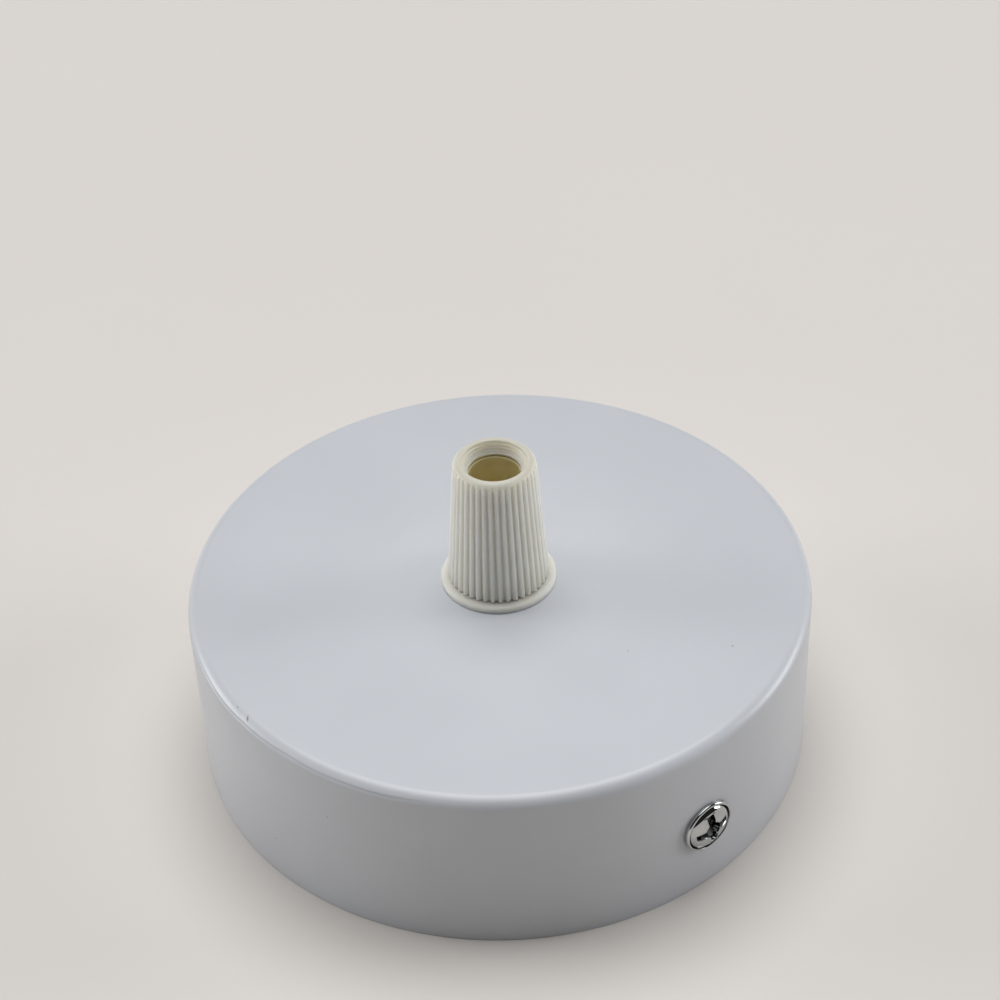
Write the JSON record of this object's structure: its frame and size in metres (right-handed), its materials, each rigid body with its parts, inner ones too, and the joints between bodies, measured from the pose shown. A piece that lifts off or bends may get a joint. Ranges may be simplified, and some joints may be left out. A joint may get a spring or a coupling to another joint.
{
  "type": "light fixture ceiling canopy",
  "caption": "White drawn steel ceiling cup for a pendant lamp, with a ribbed ivory cord grip on top, chrome side screws and a mounting strap inside.",
  "frame": {"origin": "on the cup's axis, in the plane of its open rim", "axes": "+Z along the cup's axis from the open rim to the cord grip, as the part rests on its rim; +X along the strap, through the side screws and on the earth screw's side"},
  "size_m": [0.1036, 0.1, 0.0536],
  "materials": {
    "powder_coated_steel": "white powder coat, fine satin",
    "ivory_nylon": "moulded, satin",
    "natural_nylon": "moulded, translucent",
    "zinc_plated_steel": "bright zinc plated",
    "chromed_steel": "polished",
    "brass": "turned, bright"
  },
  "bodies": {
    "canopy": {"canopy_cup": "powder_coated_steel", "gland_stem": "ivory_nylon", "lock_washer": "zinc_plated_steel", "lock_nut": "zinc_plated_steel", "mounting_bracket": "zinc_plated_steel", "earth_washer": "brass"},
    "collet": {"gland_collet": "natural_nylon"},
    "grip_cap": {"gland_cap": "ivory_nylon"},
    "right_screw": {"side_screw_right": "chromed_steel"},
    "left_screw": {"side_screw_left": "chromed_steel"},
    "earth_screw": {"earth_screw": "brass"}
  },
  "joints": [
    {"name": "collet_rise", "type": "slide", "parent": "canopy", "child": "collet", "axis": [0, 0, 1], "range_m": [0, 0.00601]},
    {"name": "cap_turn", "type": "hinge", "parent": "collet", "child": "grip_cap", "pos_m": [0, 0, 0.04], "axis": [0, 0, 1], "range_deg": [0, 1440]},
    {"name": "right_screw_out", "type": "slide", "parent": "canopy", "child": "right_screw", "axis": [1, 0, 0], "range_m": [0, 0.0052]},
    {"name": "left_screw_out", "type": "slide", "parent": "canopy", "child": "left_screw", "axis": [-1, 0, 0], "range_m": [0, 0.0052]},
    {"name": "earth_screw_out", "type": "slide", "parent": "canopy", "child": "earth_screw", "axis": [0, 0, 1], "range_m": [0, 0.0025]}
  ],
  "couplings": [
    {"joint": "collet_rise", "follows": "cap_turn", "m_per_rad": 0.0002387}
  ]
}
